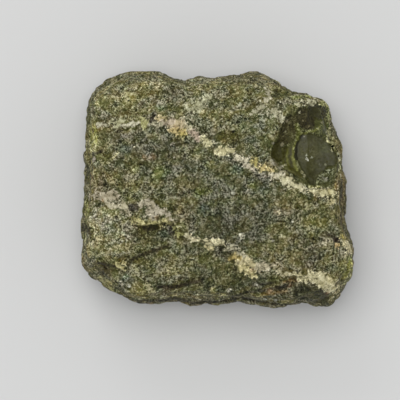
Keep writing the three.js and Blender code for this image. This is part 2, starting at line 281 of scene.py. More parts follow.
# soft patches: x, y, half length, half width, colour, strength
tints = [
    (-24, 25, 15, 10, (124, 119, 92), 1), (0, 25, 18, 9, (118, 114, 83), 1),
    (5, 3, 22, 15, (98, 97, 75), 1), (-31.5, -11, 8.5, 10, (132, 129, 104), 1),
    (-34, -12, 4, 6, (140, 134, 110), 0.8), (0, -26, 22, 6, (86, 85, 57), 1),
    (-15, 10, 14, 8, (98, 96, 78), 0.8), (13, 21, 4, 4, (142, 139, 110), 0.7),
    (12, 12, 5, 4, (104, 107, 84), 0.8), (19, 27.4, 3.6, 2.4, (86, 86, 50), 0.8),
    (-4, -6, 3.4, 2.6, (88, 98, 86), 0.8), (25, -16, 12, 9, (104, 99, 72), 1),
    (2, -12, 16, 8, (87, 86, 66), 1), (28, -10.5, 5, 3.4, (118, 116, 72), 0.8),
    (35.6, -8, 2, 5, (104, 93, 62), 0.9), (37, -23, 2.4, 5, (132, 128, 76), 0.8),
    (38.2, -21, 0.9, 2.6, (158, 158, 74), 0.8), (17, -29, 5, 2, (84, 76, 50), 0.9),
    (20.6, -26.4, 3, 1.6, (66, 58, 36), 0.9), (5.2, -23, 1.2, 2.6, (72, 68, 36), 0.8),
    (27, -19, 4, 2.6, (94, 88, 70), 0.7), (-24.5, 31, 3.2, 2.2, (96, 92, 57), 0.9),
    (10, 17.5, 6, 4.5, (101, 105, 83), 0.8), (-19, 30, 6, 1.6, (146, 138, 104), 0.7),
    (-25, 21.6, 6, 1.4, (98, 93, 62), 0.9), (-31, 20.6, 3.4, 0.8, (80, 76, 46), 0.8),
    (-26, 26, 2.6, 2, (142, 135, 86), 0.8), (-18, 27.4, 6.4, 1.4, (112, 103, 68), 0.8),
    (-16.6, 23.4, 2, 1.4, (108, 116, 94), 0.8), (-12, 26.6, 2.6, 3, (100, 96, 72), 0.8),
    (-7, 24, 3, 3, (148, 144, 112), 0.7), (-29, 15.4, 5.4, 2.4, (102, 97, 82), 0.8),
    (-26.6, 11.4, 3, 1.8, (82, 88, 70), 0.8), (-14.6, 12.4, 3, 2.4, (80, 81, 64), 0.8),
    (-11.4, 11, 1.8, 0.8, (66, 67, 50), 0.7), (-6.6, 10.4, 3, 2.4, (138, 136, 94), 0.7),
    (-18.6, 9.4, 1.8, 1.4, (126, 108, 82), 0.7), (-16, 5, 3.4, 1.8, (130, 134, 98), 0.8),
    (-23.4, 5.8, 1.5, 1.4, (132, 132, 88), 0.9), (-34.4, 24.6, 1.6, 1.8, (160, 155, 130), 0.9),
    (-35.4, 15, 1.6, 4.4, (142, 142, 78), 0.9), (-35.6, 11.4, 1.2, 1.2, (172, 163, 138), 0.9),
    (-37.4, 21, 0.8, 2.6, (66, 64, 44), 0.8), (-35.6, 23, 0.7, 1.6, (74, 68, 42), 0.8),
    (-31, 31, 3, 1.6, (92, 88, 56), 0.6), (-11, 30, 4, 1.6, (98, 96, 62), 0.7),
    (6, 31.6, 7, 1.4, (88, 84, 56), 0.7), (16.6, 27.4, 1.4, 2, (70, 68, 42), 0.9),
    (2.4, 15, 3.4, 2.4, (118, 110, 74), 0.8), (-2.2, 7.3, 2, 1.6, (132, 130, 86), 0.9),
    (9.8, 1.3, 1.3, 1.2, (142, 142, 102), 0.8), (-3.6, -0.6, 3, 1.4, (96, 98, 52), 0.8),
    (-5.6, -1, 1.2, 1.6, (128, 130, 78), 0.7), (14.6, 7.2, 3, 1.2, (132, 118, 74), 0.8),
    (5.4, 5.4, 2.6, 2.2, (102, 112, 90), 0.6), (12.6, 0, 3, 3.4, (84, 90, 74), 0.6),
    (21.6, -1.6, 3.4, 1.6, (98, 98, 70), 0.8), (13, 3.4, 3, 1.4, (112, 104, 86), 0.6),
    (-37.6, -4.6, 1.2, 4, (112, 112, 62), 0.9), (-38, -14.4, 0.9, 2.2, (130, 128, 74), 0.8),
    (-19.4, -13.6, 5, 3.4, (86, 83, 52), 1), (-15.4, -12.6, 1.8, 1.6, (88, 96, 74), 0.8),
    (-10.2, -10.4, 2.4, 1.4, (118, 116, 84), 0.8), (-11.2, -11.4, 1, 0.7, (136, 136, 74), 0.7),
    (-21, -20.6, 4, 1.2, (112, 105, 60), 0.8), (-26.2, -18.9, 1.8, 0.7, (90, 84, 36), 0.8),
    (-26.9, -20.7, 1.8, 1.2, (138, 123, 72), 0.9), (-32, -23, 2.4, 2.2, (68, 61, 40), 0.9),
    (-36, -21.6, 2, 2.4, (96, 91, 70), 0.8), (-31.2, -27, 2.2, 1.6, (126, 119, 70), 0.8),
    (-26.2, -26, 2.6, 3.4, (78, 79, 62), 0.8), (-26.3, -25, 1.1, 1, (146, 154, 138), 0.9),
    (-21.4, -28.6, 2.6, 2.6, (114, 110, 64), 0.8), (-12.8, -24, 4, 2.8, (138, 131, 98), 0.7),
    (-14.6, -28.8, 2, 1.2, (72, 62, 42), 0.8), (-12, -31.6, 5, 1, (68, 65, 48), 0.8),
    (-1.2, -28.8, 1.1, 1.4, (140, 134, 70), 0.8), (5, -21, 1.6, 1.2, (112, 108, 70), 0.5),
    (34.6, 12, 1.8, 4, (100, 93, 56), 0.9), (33.6, 17.6, 1.2, 4, (90, 84, 54), 0.8),
    (35, 1, 2, 4, (136, 118, 76), 1), (36.9, 2.4, 0.9, 3, (100, 98, 72), 0.7),
    (36.4, 13, 1.6, 5, (98, 90, 52), 0.9), (24.4, 28.1, 1.8, 0.5, (66, 62, 50), 0.8),
    (21.6, 27.8, 1.6, 0.6, (64, 68, 28), 0.8), (24, 25.8, 3, 0.8, (92, 86, 48), 0.8),
    (20, 24, 2.2, 1.6, (108, 106, 78), 0.8),
]

# areas with a crisp edge: colour, how far they are sunk in, how smooth they are, outline; some are
# painted shade under the ledge and in a small recess
faces = [
    ((52, 47, 24), 0.4, 0.4, [(-39.4, -9.4), (-37.6, -9.7), (-36.2, -10.5), (-36.1, -13),
                              (-37.8, -12.5), (-39.4, -11.6)]),
    ((66, 64, 40), 0.3, 0.4, [(22, -27.6), (25.4, -27), (27.6, -28), (32.2, -30.2), (31.8, -34),
                              (28, -33.6), (24, -32.4), (21.8, -30.4)]),
    # painted shadow under the ledge
    ((60, 53, 33), 0.0, 0.3, [(-21.8, -10.1), (-19.6, -10.4), (-18, -10.3), (-17.2, -11.4),
                              (-19.6, -12), (-21.4, -11.6)]),
    ((104, 98, 84), 0.0, 0.5, [(-14.2, -10.2), (-12.5, -10.3), (-12.2, -12.4), (-14.2, -12.6)]),
    ((62, 56, 44), 0.3, 0.0, [(-25.6, -4.1), (-22.6, -3.8), (-22.4, -5.8), (-24.8, -6.2),
                              (-25.8, -5.6)]),
    # a small sunk recess, darkened with painted shade
    ((58, 50, 34), 0.5, 0.0, [(-19.8, 19.7), (-19, 20.6), (-18.2, 21.9), (-17.4, 21.6), (-17.7, 20),
                              (-18.8, 19), (-19.7, 19)]),
    ((66, 58, 36), 0.3, 0.0, [(31.2, -12.6), (33, -12.4), (33.8, -13.2), (35.2, -13.8), (34.4, -15.2),
                              (33, -14.9), (32.6, -13.6), (31.2, -13.4)]),
    # in the fresh chip: the dark wall, dark in its own colour and with painted shade, the streaked wall,
    # rough ground and two smooth scallops
    ((66, 64, 33), 0.3, 0.8, [(15.1, 9.6), (15.6, 11.6), (16.4, 13.6), (18, 13.6), (18.4, 11),
                              (18.3, 8.4), (17.2, 7.8), (16.4, 8.4)]),
    ((73, 71, 32), 0.0, 0.85, [(18.4, 12.2), (21.4, 12.4), (22, 9), (23, 6.2), (24.6, 3.6), (22.6, 3),
                               (20.2, 5.2), (18.2, 6.6), (18.4, 9)]),
    ((66, 61, 34), 0.2, 0.3, [(17.2, 13.4), (17.4, 15.6), (18.6, 18.6), (20, 21), (22.6, 21.4),
                              (23, 18), (22, 14.4), (20, 13)]),
    ((56, 51, 27), 0.4, 0.3, [(22.6, 21.4), (23.4, 23.2), (25.4, 23.4), (26.4, 21.4), (28, 20.4),
                              (28.2, 18.2), (26.4, 17), (24, 17.6), (22.8, 19.2)]),
    ((76, 78, 42), 0.0, 0.6, [(28, 20.4), (31.6, 20.8), (32, 17.6), (31.4, 14.8), (28.2, 16),
                              (27.6, 17.6)]),
    ((53, 51, 21), 0.6, 0.9, [(25.8, 23.4), (27, 24.4), (31.4, 24.3), (32, 22.2), (31, 20.6), (29, 20),
                              (27.4, 20.7), (26, 21.9)]),
    ((62, 61, 38), 0.7, 1.0, [(24, 15.8), (26, 16.3), (28.2, 15.7), (30.2, 14.6), (31.8, 13.9),
                              (32.3, 12.4), (33.2, 11.2), (34.5, 9.9), (34.3, 8.2), (33.4, 6.8),
                              (31.4, 6.6), (30, 5.2), (28.6, 4.2), (28.2, 1.5), (26.4, 1.3), (26.1, 3),
                              (25, 4.6), (24, 6), (23.2, 7.6), (22.5, 9.6), (22.4, 12), (23.2, 14.2)]),
    ((84, 86, 64), 0.0, 0.1, [(28.8, 4.2), (30.4, 5.8), (33.4, 6.2), (33, 3.4), (31.8, 2.2),
                              (28.6, 2)]),
]

# narrow marks without grains: half width, colour, path; some are painted shade under the ledge and small
# steps, in pits, along the front undercut and beside the chip's smooth scallop, and some are painted
# highlights on the chip's ridges
strokes = [
    # painted shadow under the ledge, as dark lines
    (0.3, (62, 56, 32), [(-22, -10.2), (-20.4, -10.5), (-18.4, -10.4), (-17.3, -11.2)]),
    (0.3, (36, 31, 16), [(-15.6, -9.8), (-14, -10), (-12.8, -9.9), (-12.4, -10.8), (-12.3, -12)]),
    # dark lines below small steps: painted shade
    (0.45, (58, 52, 22), [(-14, -15.9), (-17, -16.9), (-19, -17.5), (-21.6, -18.6), (-23.6, -19.2),
                          (-24.9, -20.6), (-25.3, -21.5)]),
    (0.45, (50, 45, 26), [(-34.2, -20.8), (-31.6, -21.3), (-29, -22)]),
    (0.5, (58, 51, 34), [(-17, -27.6), (-13, -27.9), (-9.4, -27.1), (-7, -26.3), (-4.6, -26)]),
    (0.3, (140, 134, 104), [(-18, -31), (-15.4, -30.7), (-12.4, -30.2), (-9, -30.7)]),
    (0.35, (54, 48, 26), [(26.4, -26.6), (28, -27.6), (29.6, -28.7), (31.2, -29.7)]),
    (0.4, (70, 60, 32), [(18.8, -24.9), (20.6, -25), (22.6, -25.1), (23.2, -26)]),
    # painted shade under the ledge's end and in the pit below it
    (0.3, (52, 46, 28), [(2, -15.8), (3.6, -15.5), (5, -15.9)]),
    (0.35, (44, 38, 24), [(0.8, -16.8), (1.9, -16.8)]),
    (0.35, (62, 56, 38), [(-36, 10.2), (-34.4, 10.6), (-32.8, 11.3)]),
    (0.3, (60, 56, 28), [(-38.3, -15.4), (-37.8, -17.4)]),
    # painted shade in two pits
    (0.35, (60, 44, 30), [(33.4, -14.2), (34.6, -14.5)]),
    (0.3, (58, 50, 36), [(-15, 18.4), (-14.3, 18.2)]),
    (0.3, (58, 50, 36), [(3, 10.3), (3.6, 10.1)]),
    (0.25, (148, 142, 96), [(-28.4, 10.6), (-29.2, 9.6), (-30.2, 8.6)]),
    (0.25, (148, 144, 118), [(-22.6, 13.6), (-23.6, 12.2)]),
    (0.3, (176, 172, 148), [(-5.9, -30.1), (-5.1, -31.4)]),
    (0.3, (172, 166, 126), [(1, -29.9), (2.6, -30.4)]),
    (0.35, (66, 62, 34), [(35, 3), (35.1, 0), (35.2, -3)]),
    (0.3, (126, 112, 72), [(34.3, 3.4), (34.4, 0), (34.4, -3.4)]),
    (0.35, (128, 108, 66), [(36, 4.4), (36.2, 0), (36, -4), (35.8, -9)]),
    (0.25, (58, 50, 32), [(35.6, 3), (35.7, -1), (35.5, -6), (35.3, -10)]),
    (0.25, (60, 52, 34), [(36.7, 2), (36.7, -2), (36.5, -7)]),
    (0.3, (70, 60, 36), [(28.6, -2.4), (30.4, -2), (32, -2.6)]),
    # painted shade along the undercut at the front, and the brown beds above it
    (0.4, (52, 48, 30), [(-27.6, -30.5), (-25.2, -31.7), (-21.4, -32.1), (-16.5, -31.9),
                         (-13.2, -31.2), (-10.8, -31.4), (-8.3, -32.8), (-4.6, -32.4), (-0.4, -32.2),
                         (3.4, -31.7), (7.6, -31)]),
    (0.4, (50, 48, 34), [(7.6, -31), (11.7, -32.2), (15.8, -32.8), (20.7, -33.2), (24, -32.8),
                         (31, -33.8)]),
    (0.3, (130, 110, 64), [(12.6, -30), (14.5, -29.8), (17, -29.3), (19.6, -28.8)]),
    (0.3, (112, 90, 50), [(19, -26.4), (21, -25.8), (23, -26)]),
    (0.3, (50, 45, 28), [(12, -29), (15, -28.4), (18.4, -27.8), (20.4, -27.6)]),
    (0.3, (56, 52, 34), [(10, -27.6), (13, -26.9), (16, -26.5)]),
    (0.3, (58, 54, 36), [(4, -30.6), (8, -29.4), (11, -28.8)]),
    # in and around the fresh chip
    # painted shadow along the left edge of the smooth scallop
    (0.4, (36, 34, 16), [(22.5, 9), (22.4, 12.2), (23.1, 14.3), (24, 15.7)]),
    # pale lines along the ridges that edge the smooth scallop: paler crests with painted highlights on
    # them
    (0.2, (118, 119, 72), [(22.9, 5.4), (22, 7.4), (21.6, 9.6), (21.7, 12), (22.6, 14), (23.2, 15.6),
                           (24.4, 16.2)]),
    (0.18, (118, 119, 76), [(25, 16), (26.2, 16.8), (27.4, 16.6), (28.4, 17.2), (29.2, 17.9)]),
    (0.5, (98, 100, 56), [(22.9, 14.6), (23.2, 16.4), (22.7, 18.4)]),
    (0.2, (100, 100, 56), [(19.9, 11.6), (19.8, 9.4), (20.2, 7)]),
    (0.2, (58, 55, 26), [(20.9, 11.6), (20.8, 9), (21.2, 6.8)]),
    (0.2, (60, 57, 28), [(19.2, 11.8), (19.1, 9.4), (19.5, 7.2)]),
    (0.18, (104, 104, 60), [(21.4, 11), (21.5, 8.6), (22.2, 6)]),
    (0.3, (112, 116, 62), [(31.9, 23.8), (31.9, 21), (31.8, 18.2)]),
    (0.35, (124, 128, 56), [(29.8, 24.8), (31.4, 24.6)]),
    (0.45, (136, 140, 80), [(21.6, 26.4), (23.4, 26.8), (25, 26.6), (26.4, 26.8)]),
    (0.35, (150, 148, 118), [(34.4, 10.4), (35.2, 8.8), (35.4, 7), (35, 5.4)]),
    (0.35, (138, 134, 92), [(26.2, 0.9), (27.6, 0.6), (29, 0.9)]),
    (0.2, (40, 36, 18), [(27.4, 0.2), (30, 0.2), (32.4, 0.6)]),
]

# soft tones in the chip: x, y, half length, half width, colour, strength
freshTints = [
    (26.4, 10.4, 3.6, 5, (72, 70, 47), 0.9), (30.6, 12, 2.6, 2, (66, 68, 44), 0.7),
    (30.6, 8.4, 3.4, 1.4, (60, 58, 36), 0.7), (27, 4.6, 1.4, 2.4, (62, 60, 36), 0.7),
    (30, 22.2, 1.4, 1.6, (61, 59, 29), 0.8), (19.4, 8.6, 0.8, 3.4, (76, 78, 38), 0.6),
    (18.8, 17, 1.4, 1.8, (56, 51, 30), 0.6), (20.8, 15.2, 1.6, 1.8, (74, 72, 42), 0.6),
    (29.4, 3.4, 1.6, 1.2, (82, 82, 64), 0.7),
]

# pale crumb marks, and painted highlights for glints on the chip's smooth scallop: x, y, radius, colour
crumbsAndGlints = [
    (18.4, 12.9, 0.5, (134, 128, 98)), (18.8, 16.3, 0.45, (112, 110, 72)),
    (20.2, 13.2, 0.35, (118, 118, 76)), (23.5, 22, 0.4, (176, 172, 138)),
    (24.3, 20, 0.3, (150, 140, 104)), (23.2, 18.5, 0.3, (140, 140, 92)),
    (26, 18.2, 0.35, (116, 108, 72)), (24.8, 15.1, 0.3, (126, 122, 100)),
    # the four pale spots at (25.4, 8.9), (25.8, 8.4), (27, 9.3) and (25.5, 9.9) are painted highlights,
    # glints on the smooth scallop
    (25.4, 8.9, 0.3, (190, 190, 172)), (25.8, 8.4, 0.3, (196, 196, 178)),
    (27, 9.3, 0.28, (142, 144, 122)), (25.5, 9.9, 0.28, (132, 134, 108)),
    (19.6, 7, 0.28, (150, 146, 104)), (28.6, 2.3, 0.35, (146, 148, 106)),
    (31.5, 5.5, 0.35, (150, 154, 120)), (31, 3, 0.55, (146, 144, 122)),
    (24.7, 4, 0.45, (176, 172, 132)), (24.2, 5, 0.4, (150, 146, 106)),
    (30.2, 3.4, 0.3, (132, 130, 108)), (19.8, 19.6, 0.35, (126, 118, 88)),
    (29.8, 19.3, 0.25, (116, 112, 82)), (28.8, 17.6, 0.3, (150, 150, 104)),
    (26.4, 11.2, 0.25, (104, 104, 82)), (29.2, 7.4, 0.25, (96, 96, 72)),
    (30.8, 7.2, 0.25, (98, 98, 70)), (21.4, 21.8, 0.5, (112, 110, 66)),
    (20.6, 22.6, 0.5, (120, 118, 76)), (4.7, -1.1, 0.55, (206, 204, 182)),
    (8.4, -0.6, 0.35, (176, 172, 148)), (11.7, 7.2, 0.6, (206, 192, 152)),
    (7.1, -13.3, 0.8, (184, 180, 154)), (17.5, -6.6, 0.6, (188, 178, 138)),
    (21.3, -9.2, 0.4, (186, 184, 160)), (18.4, -13.2, 0.4, (200, 196, 158)),
    (22.5, -14.8, 0.5, (184, 178, 126)), (16, -14.8, 0.5, (168, 164, 142)),
    (3.2, -29, 0.5, (196, 192, 166)), (10.8, -26.8, 0.6, (160, 158, 136)),
    (-27.5, -26.8, 0.5, (186, 180, 154)), (-25.3, -27.3, 0.45, (200, 198, 176)),
    (-8.6, -22.9, 0.45, (176, 170, 132)), (-9.6, -20.4, 0.4, (180, 174, 138)),
    (-12.8, 13, 0.5, (160, 154, 132)), (-12.4, 9, 0.4, (166, 160, 134)),
    (-35.4, 8.8, 0.6, (176, 166, 146)), (13.5, -31.1, 0.45, (168, 168, 148)),
    (16.6, -31.6, 0.4, (160, 160, 140)), (17.4, 24.6, 0.4, (196, 192, 160)),
    (14.2, 22.8, 0.4, (184, 178, 146)), (15.7, 13.2, 0.5, (156, 152, 130)),
]

# pale veins and crusts of granules: colour, path of (x, y, half width)
veins = [
    ((192, 187, 158), [(-34.4, 18.5, 0.4), (-33, 18.6, 0.6), (-32, 18.4, 0.4)]),
    ((186, 184, 144), [(-30, 19.5, 0.6), (-28.8, 18.8, 0.9), (-27.6, 19.4, 0.8), (-26.4, 20, 0.5)]),
    ((196, 191, 162), [(-27.4, 18.6, 0.3), (-26, 18.3, 0.3), (-24.2, 18.8, 0.35), (-22.8, 19.4, 0.4)]),
    ((178, 175, 118), [(-22, 19.8, 0.6), (-21, 19.2, 0.9), (-21.2, 18, 0.7)]),
    ((192, 186, 154), [(-19.8, 18.8, 0.3), (-18.8, 18.6, 0.35), (-17.4, 18.5, 0.5), (-16, 18.8, 0.8)]),
    ((206, 190, 140), [(-17, 20.2, 0.4), (-15.8, 20.8, 0.5), (-14.6, 20.4, 0.4)]),
    ((196, 181, 154), [(-15.8, 19.3, 0.7), (-14.2, 19.4, 0.8), (-12.8, 19.2, 1.2)]),
    ((198, 182, 142), [(-13, 18.2, 1), (-11.6, 18.6, 1.4), (-10.2, 18.8, 1.1)]),
    ((206, 186, 128), [(-13, 17, 0.7), (-11.4, 17, 0.9), (-10.6, 16.4, 0.8)]),
    ((212, 196, 124), [(-10.6, 15.8, 0.7), (-9.8, 15.8, 0.8), (-9.4, 16.6, 0.5)]),
    ((196, 188, 152), [(-9.4, 20, 0.4), (-8.6, 18.4, 0.7), (-8, 17, 0.5)]),
    ((186, 168, 144), [(-7.4, 16.4, 0.8), (-6, 15.6, 0.8), (-5.2, 14.6, 0.5)]),
    ((200, 194, 148), [(-4.4, 14.6, 0.6), (-3.4, 13.8, 1), (-2.4, 13, 0.6)]),
    ((208, 200, 154), [(0, 10.9, 0.7), (1.4, 11, 0.9), (3, 11.4, 0.9), (4.4, 10.8, 0.7)]),
    ((210, 202, 172), [(4.8, 10, 0.7), (5.4, 8.9, 0.8), (7, 8.5, 0.8), (8.4, 8.5, 0.6)]),
    ((196, 186, 158), [(7.6, 7.2, 0.3), (9, 6.8, 0.4), (10.6, 6.1, 0.4)]),
    ((196, 184, 118), [(9.6, 8, 0.4), (10.6, 8.3, 0.7), (11, 7.3, 0.6)]),
    ((206, 190, 130), [(12.3, 5.8, 0.4), (13.6, 6.3, 0.8), (15, 5.9, 0.6), (15.8, 5.3, 0.3)]),
    ((154, 148, 122), [(16.2, 7.4, 0.3), (17, 6.6, 0.5), (17.6, 6, 0.4)]),
    ((210, 202, 172), [(15.4, 4.2, 0.4), (16.2, 3.4, 0.7), (17.4, 4.2, 0.8), (18.2, 4.7, 0.6)]),
    ((212, 206, 168), [(17.8, 4, 0.7), (18.8, 3, 0.7), (19.6, 2.2, 0.9), (21, 1.9, 1),
                       (22.2, 1.4, 0.9), (23.4, 0.8, 0.7), (24.6, -0.2, 0.5)]),
    ((196, 188, 148), [(19.4, 3.8, 0.3), (20.6, 3, 0.4), (21.6, 2.8, 0.3)]),
    ((208, 200, 154), [(26.6, -0.6, 0.5), (28.4, -0.6, 0.8), (30, -0.8, 1), (32, -0.8, 1.1),
                       (33.4, -1.2, 0.6)]),
    ((190, 180, 132), [(32.2, -2, 0.5), (32.6, -3.4, 0.4)]),
    ((178, 168, 140), [(-36.4, -2.2, 0.6), (-34, -1.8, 1.1), (-31.6, -1.8, 1.3), (-29.4, -1.8, 1.1)]),
    ((186, 178, 148), [(-32, -3.8, 0.7), (-30.2, -4.6, 0.6), (-28.4, -4.6, 0.5)]),
    ((190, 182, 150), [(-27, -4.4, 0.9), (-26.4, -5.8, 1), (-25.4, -7, 0.7)]),
    ((188, 179, 152), [(-21.8, -4.6, 0.6), (-20.4, -3.6, 0.9), (-18.8, -4.2, 1), (-19.4, -6.4, 1),
                       (-18.2, -8, 0.9)]),
    ((180, 171, 146), [(-18, -5.4, 0.8), (-16.4, -6.4, 0.9), (-14.8, -6.2, 0.7), (-14, -8.2, 0.5)]),
    ((190, 178, 140), [(-19.6, -8.4, 0.5), (-17.8, -8.2, 0.5), (-16.8, -7.8, 0.4)]),
    ((198, 190, 130), [(-24.2, -8.8, 0.6), (-22.6, -9, 0.7), (-21.4, -9.5, 0.7), (-20, -9.7, 0.7),
                       (-19, -9.2, 0.7), (-18, -9, 0.6)]),
    ((190, 181, 124), [(-16.8, -9.6, 0.4), (-16.2, -10.1, 0.5), (-15.6, -9.4, 0.5),
                       (-13.6, -9.5, 0.5)]),
    ((170, 168, 106), [(-12.1, -10.8, 0.3), (-12, -11.8, 0.4), (-11.2, -12.5, 0.45),
                       (-10, -12.6, 0.4)]),
    ((206, 198, 160), [(-9.2, -13, 0.5), (-8.3, -13.4, 0.7), (-6.4, -14.2, 0.5)]),
    ((210, 202, 160), [(-5.6, -14.2, 0.6), (-4, -14.8, 0.7), (-2.8, -15.2, 0.8), (-1.4, -14.6, 0.6),
                       (0.2, -15.2, 0.7), (1.4, -15.4, 0.5)]),
    ((190, 180, 132), [(-2.8, -16.2, 0.5), (-1.2, -16.8, 0.5)]),
    ((188, 182, 150), [(2.4, -17.2, 0.4), (3.6, -16.6, 0.6), (5, -17, 0.6), (6.2, -18, 0.5),
                       (7.8, -18.8, 0.5)]),
    ((194, 176, 114), [(3.8, -19.6, 0.7), (5, -19, 0.9), (6.2, -19.8, 0.9)]),
    ((198, 187, 142), [(6.4, -20.8, 0.9), (7.8, -20.2, 1), (9, -20.6, 0.9), (9.8, -21.6, 0.8)]),
    ((202, 191, 138), [(6.8, -22.2, 0.8), (8.4, -22.6, 1.1), (9.6, -23.6, 0.8), (10.4, -24.6, 0.5)]),
    ((186, 176, 144), [(10.6, -22, 0.7), (12, -21.8, 0.7), (13.6, -21.2, 0.4), (11.6, -23, 0.4),
                       (14, -22.2, 0.35), (16.6, -21.8, 0.3)]),
    ((198, 190, 152), [(17.6, -23.4, 0.4), (19, -24.2, 0.5), (20.4, -24.3, 0.4)]),
    ((194, 186, 142), [(22, -23.8, 0.4), (23.6, -24.6, 0.6), (25, -25.8, 0.8), (26.4, -25.4, 0.4)]),
    ((208, 200, 158), [(26.8, -24.4, 1.2), (28.8, -24.6, 1.5), (29.8, -26, 1.6), (31.4, -27.4, 1.5),
                       (33, -28.6, 0.9)]),
    ((214, 204, 158), [(31.6, -26.2, 1.2), (33, -27, 1.5), (34, -28.4, 1.3), (34.4, -29.8, 0.8)]),
    ((192, 176, 96), [(35.6, -13.2, 0.4), (36, -14, 0.5)]),
    ((208, 198, 152), [(36, -14.8, 0.6), (36.8, -15.4, 0.8), (37.6, -17.2, 0.7)]),
    ((198, 172, 114), [(33.6, -16, 0.3), (34.6, -16.1, 0.3)]),
    ((184, 176, 142), [(31, -14.6, 0.4), (30.2, -15.6, 0.5)]),
    ((190, 188, 150), [(-8.8, 23.4, 0.7), (-7.2, 22.8, 0.9), (-5.6, 23.6, 1.1), (-4, 25.2, 1),
                       (-2, 26.8, 0.5)]),
    ((182, 178, 146), [(10, 21.4, 0.5), (11.6, 23, 0.8), (12.6, 24.2, 0.5)]),
    ((186, 182, 150), [(14.4, 21.4, 0.4), (16, 22.4, 0.7), (17.6, 21, 0.6), (18.6, 20, 0.6)]),
    ((184, 178, 148), [(13.6, 25.4, 0.4), (14.8, 26.4, 0.5), (13.8, 28.6, 0.4)]),
    ((188, 182, 134), [(-26.4, 25.6, 0.4), (-25.8, 26.8, 0.4), (-24.6, 27.6, 0.35)]),
    ((176, 168, 114), [(-29, -19.4, 0.2), (-28.6, -21, 0.25), (-28, -22.2, 0.2), (-26.4, -22.2, 0.15)]),
    ((158, 154, 102), [(-34, -25.4, 0.1), (-32.6, -26.8, 0.15), (-31.4, -28.2, 0.15),
                       (-29.6, -28.9, 0.1)]),
    ((168, 162, 120), [(-20.4, -26.8, 0.3), (-19.2, -28.6, 0.5), (-18, -30.2, 0.3)]),
    ((188, 184, 132), [(32, 17.2, 0.4), (31.9, 15.4, 0.5), (32.4, 13.8, 0.6), (33, 12.2, 0.4)]),
    ((196, 192, 154), [(26.3, 24.9, 0.4), (27.2, 25, 0.6), (28.2, 25.6, 0.4)]),
    ((188, 184, 146), [(23.4, 24.2, 0.35), (24.4, 25.1, 0.5), (25, 25.4, 0.3)]),
    ((180, 178, 116), [(30, 25.1, 0.3), (31.4, 24.9, 0.35), (32.2, 23.6, 0.3)]),
]

# rusty spots: x, y, radius
rusts = [
    (-12, 18, 0.7), (34.2, -16, 0.4), (16.5, -6, 0.6), (28, -2, 0.9), (-33, -3.4, 0.8),
    (9.6, -22.8, 0.7), (31.5, -29.4, 0.8), (-17, -8, 0.6), (20.5, -27.5, 0.8), (-9.6, 16.4, 0.5),
    (-21, 9.4, 0.7), (15, -29, 0.8),
]


def insideDistance(x, y, outline):
    # distance to a closed outline, negative outside it
    closed = outline + outline[:1]
    distance, _ = pathDistance(x, y, closed)
    inside = np.zeros(len(x), dtype=bool)
    for (ax, ay), (bx, by) in zip(closed, closed[1:]):
        crosses = (ay > y) != (by > y)
        edgeX = ax + (y - ay) * (bx - ax) / (by - ay if by != ay else 1e-9)
        inside ^= crosses & (x < edgeX)
    return np.where(inside, distance, -distance)


def freshMask(places):
    x, y, z = places.T
    wobble = 0.3 * noiseAt(places, 1.3, 4)
    inside = smooth(insideDistance(x + wobble, y + wobble, freshEdge), -0.2, 0.25)
    return inside * smooth(z, *rock["chipRise"])


def ellipseMask(x, y, cx, cy, halfLength, halfWidth):
    return 1 - smooth(np.hypot((x - cx) / halfLength, (y - cy) / halfWidth), 0.35, 1.15)


ground = {  # the tones under the marks of the tables above
    "base": (108, 105, 74),
    "brownBase": (106, 96, 66),
    "drift": 0.34,  # how far the hidden sides drift lighter and darker
    "driftSize": 13,
    "wander": [(2.4, 0.5), (0.9, 0.35)],  # how the marks' edges wander: size, reach
    "topSlope": (0.3, 0.75),
    "wallShade": 0.26,
    "streaks": [(9, 0.9, 1.0), (5, 0.4, 0.6)],  # along the beds: length, thickness, strength
    "streakDepth": 0.6,
    "brownBeds": (118, 106, 74),
    "brownShare": 0.6,
    "wallCast": (0.0, 0.02, 0.24),  # what the walls lose of red, green and blue
    "shoulderPaleness": (0.25, 0.5),  # the sloped shoulders are paler: overall, in spots
    "shoulderSpots": 1.9,
    "veinColour": (196, 188, 154),
    "veinFringe": 1.0,
    "veinSpread": 0.25,
    # strength of the crumb marks and of the painted glint highlights
    "crumbsAndGlints": 0.85,
    "sideSeams": 0.5,
    "sideRust": 0.6,
    # painted shade in recesses and painted light on ridges, over narrow and wide surroundings
    "hollows": [(6, 0.5), (60, 0.28)],  # narrow and wide: passes, strength
    "hollowRange": (-0.1, 0.4),
}


def wander(values, places, shifts):
    for (size, reach), shift in zip(ground["wander"], shifts):
        values = values + reach * noiseAt(places, size, shift)
    return values


